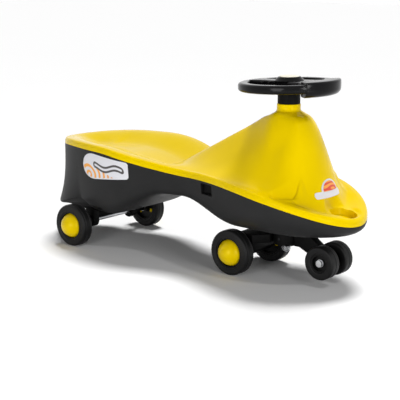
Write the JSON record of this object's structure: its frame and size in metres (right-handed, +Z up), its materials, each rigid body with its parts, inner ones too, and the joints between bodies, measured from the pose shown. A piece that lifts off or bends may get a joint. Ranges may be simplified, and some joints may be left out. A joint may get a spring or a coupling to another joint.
{
  "type": "wiggle car",
  "caption": "Ride-on wiggle car: yellow moulded shell with a dished seat over a dark hull, and a steering wheel whose column swings a wheeled yoke under the nose",
  "frame": {"origin": "on the ground, below the middle of the body", "axes": "+X to the nose, +Y to the rider's left, +Z up"},
  "size_m": [0.845, 0.3112, 0.4245],
  "materials": {
    "yellow_plastic": "gloss",
    "hull_plastic": "satin",
    "black_plastic": "satin",
    "gloss_black": "gloss",
    "tyre": "satin",
    "cream_plastic": "gloss",
    "nylon": "satin",
    "steel": "satin"
  },
  "bodies": {
    "chassis": {"lower_hull": "hull_plastic", "upper_shell": "yellow_plastic", "shell_screws": "steel", "seam_latches": "black_plastic", "top_bush": "nylon", "bottom_bush": "nylon", "rear_axle_carrier": "black_plastic", "carrier_screws": "steel", "rear_axle": "steel", "rear_spacers": "black_plastic", "rear_axle_washers": "steel", "rear_axle_nuts": "steel"},
    "steering": {"steering_wheel": "gloss_black", "wheel_centre_cap": "cream_plastic", "column_sleeve": "black_plastic", "steering_shaft": "steel", "shaft_top_nut": "steel", "thrust_washer": "nylon", "yoke": "hull_plastic", "yoke_cross_pin": "steel", "shaft_bottom_washer": "steel", "shaft_cap_nut": "steel", "front_axle": "steel", "front_axle_washers": "steel", "front_axle_nuts": "steel", "caster_bolt": "steel", "caster_washers": "steel", "caster_nut": "steel"},
    "rear_left_wheel": {"rear_left_tyre": "tyre", "rear_left_hub": "gloss_black", "rear_left_bush": "nylon", "rear_left_cap": "yellow_plastic"},
    "rear_right_wheel": {"rear_right_tyre": "tyre", "rear_right_hub": "gloss_black", "rear_right_bush": "nylon", "rear_right_cap": "yellow_plastic"},
    "front_left_wheel": {"front_left_tyre": "tyre", "front_left_hub": "gloss_black", "front_left_bush": "nylon", "front_left_cap": "yellow_plastic"},
    "front_right_wheel": {"front_right_tyre": "tyre", "front_right_hub": "gloss_black", "front_right_bush": "nylon", "front_right_cap": "yellow_plastic"},
    "caster_left_wheel": {"caster_left_tyre": "tyre", "caster_left_hub": "gloss_black"},
    "caster_right_wheel": {"caster_right_tyre": "tyre", "caster_right_hub": "gloss_black"}
  },
  "joints": [
    {"name": "steering_turn", "type": "hinge", "parent": "chassis", "child": "steering", "pos_m": [0.2432, 0, 0.2], "axis": [0, 0, 1], "continuous": true},
    {"name": "rear_left_spin", "type": "hinge", "parent": "chassis", "child": "rear_left_wheel", "pos_m": [-0.2775, 0.1246, 0.049], "axis": [0, 1, 0], "continuous": true},
    {"name": "rear_right_spin", "type": "hinge", "parent": "chassis", "child": "rear_right_wheel", "pos_m": [-0.2775, -0.1246, 0.049], "axis": [0, 1, 0], "continuous": true},
    {"name": "front_left_spin", "type": "hinge", "parent": "steering", "child": "front_left_wheel", "pos_m": [0.1525, 0.0695, 0.049], "axis": [0, 1, 0], "continuous": true},
    {"name": "front_right_spin", "type": "hinge", "parent": "steering", "child": "front_right_wheel", "pos_m": [0.1525, -0.0695, 0.049], "axis": [0, 1, 0], "continuous": true},
    {"name": "caster_left_spin", "type": "hinge", "parent": "steering", "child": "caster_left_wheel", "pos_m": [0.3512, 0.0252, 0.0525], "axis": [0, 1, 0], "continuous": true},
    {"name": "caster_right_spin", "type": "hinge", "parent": "steering", "child": "caster_right_wheel", "pos_m": [0.3512, -0.0252, 0.0525], "axis": [0, 1, 0], "continuous": true}
  ]
}
